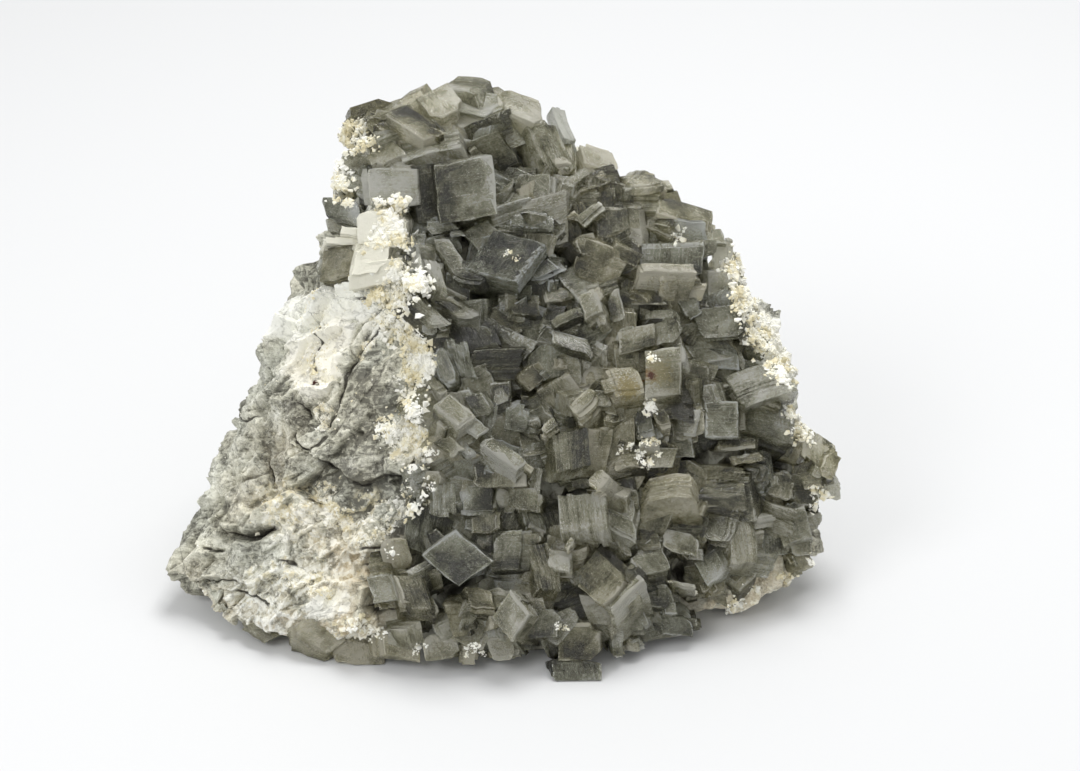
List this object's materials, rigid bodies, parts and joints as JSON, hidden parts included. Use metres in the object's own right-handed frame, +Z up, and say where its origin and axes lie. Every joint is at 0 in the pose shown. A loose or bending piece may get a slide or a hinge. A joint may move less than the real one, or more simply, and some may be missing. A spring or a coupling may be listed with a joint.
{
  "type": "dolomite crystal specimen",
  "caption": "Cabinet mineral specimen: smoky rhombohedral dolomite crystals grown together over one broken face of a pale dolomite block with a flat resting base.",
  "frame": {"origin": "centre of the bounding box at the level of the flat base", "axes": "+Z up, the crystal face turned towards -Y and leaning back, +X to the right when the crystal face is looked at"},
  "size_m": [0.174, 0.1114, 0.1213],
  "materials": {
    "matrix": "pale grey and cream broken dolomite rock, matt, with white crumbly crust",
    "crystal": "smoky grey-brown translucent dolomite crystal, vitreous to pearly, striated and stepped, milky edges"
  },
  "bodies": {
    "root": {"matrix": "matrix", "crystal_druse": "crystal", "left_edge_crystal": "crystal", "left_toe_crystal": "crystal", "pale_toe_crystal": "crystal", "front_toe_crystal": "crystal"}
  },
  "joints": []
}
